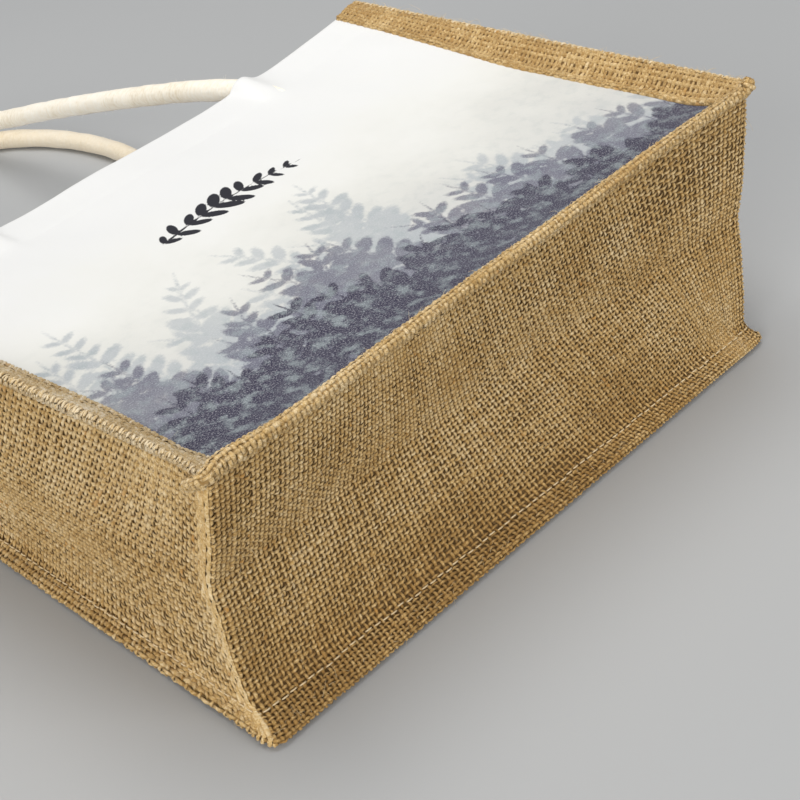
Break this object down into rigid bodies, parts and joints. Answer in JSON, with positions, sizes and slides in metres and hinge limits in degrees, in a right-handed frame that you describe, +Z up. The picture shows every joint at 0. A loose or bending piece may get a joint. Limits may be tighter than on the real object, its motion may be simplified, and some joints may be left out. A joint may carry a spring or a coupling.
{
  "type": "burlap bag",
  "caption": "Box-shaped burlap tote bag lying on its back panel, with a canvas front, burlap side borders, a rolled bottom binding and rope handles.",
  "frame": {"origin": "centre of the bag's box without its handles, on the surface that it lies on", "axes": "+X across the bag from the near side gusset to the far one, +Y from the bottom panel to the open mouth, +Z up from the back panel to the front"},
  "size_m": [0.3145, 0.5677, 0.1212],
  "materials": {
    "burlap": "coarse plain weave, matte",
    "canvas": null,
    "rope": "soft cotton rope, matte"
  },
  "bodies": {
    "root": {"back_panel": "burlap", "gusset": "burlap", "front_canvas": "canvas", "side_border_near": "burlap", "side_border_far": "burlap", "bottom_binding": "burlap", "handle_front": "rope", "handle_back": "rope"}
  },
  "joints": []
}
